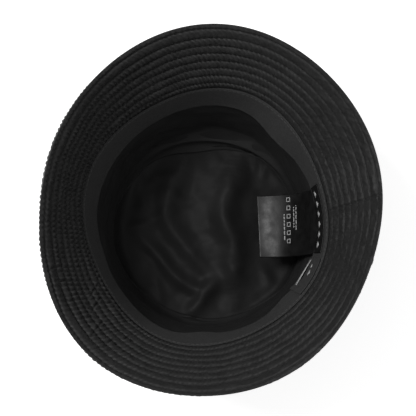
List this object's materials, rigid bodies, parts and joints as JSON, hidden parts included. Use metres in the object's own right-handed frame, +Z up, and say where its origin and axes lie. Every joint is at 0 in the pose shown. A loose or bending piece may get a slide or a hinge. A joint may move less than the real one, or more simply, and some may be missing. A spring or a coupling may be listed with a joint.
{
  "type": "bucket hat",
  "caption": "Soft black bucket hat lying crown down: deep oval crown, lining, sweatband, labels, and a flared brim quilted in concentric rows.",
  "frame": {"origin": "centre of the crown tip's flat outer face, which the hat rests on", "axes": "+Z up out of the head opening, +X towards the back of the hat where the labels and the brim seam are, +Y to one side"},
  "size_m": [0.2349, 0.2575, 0.1407],
  "materials": {
    "nylon_shell": "black twill nylon, low sheen",
    "nylon_quilted": "black twill nylon, quilted, low sheen",
    "interlining": "matte fused stiffener",
    "lining": "thin plain-weave nylon with a soft sheen",
    "sweatband_tape": "matte ribbed tape",
    "thread": "black polyester thread",
    "woven_label": null,
    "satin_label": null
  },
  "bodies": {
    "hat": {"crown_tip": "nylon_shell", "crown_side": "nylon_shell", "brim_upper": "nylon_shell", "brim_interlining": "interlining", "brim_under": "nylon_quilted", "sweatband": "sweatband_tape", "lining_side": "lining", "lining_tip": "lining", "brand_label": "woven_label", "brim_stitch_row_1": "thread", "brim_stitch_row_2": "thread", "brim_stitch_row_3": "thread", "brim_stitch_row_4": "thread", "brim_stitch_row_5": "thread", "brim_stitch_row_6": "thread", "brim_stitch_row_7": "thread", "brim_edge_stitch": "thread", "sweatband_stitch": "thread", "crown_tip_topstitch": "thread", "crown_base_topstitch": "thread"},
    "care_label": {"care_label": "satin_label"},
    "side_label": {"side_label": "woven_label"}
  },
  "joints": [
    {"name": "care_label_flap", "type": "hinge", "parent": "hat", "child": "care_label", "pos_m": [0.0775, -0.002, 0.0595], "axis": [0, 1, 0], "range_deg": [-10, 80], "stiffness_Nm_per_rad": 0.006},
    {"name": "side_label_flap", "type": "hinge", "parent": "hat", "child": "side_label", "pos_m": [0.0755, -0.0441, 0.085], "axis": [0.4975, 0.8674, 0], "range_deg": [0, 85]}
  ]
}
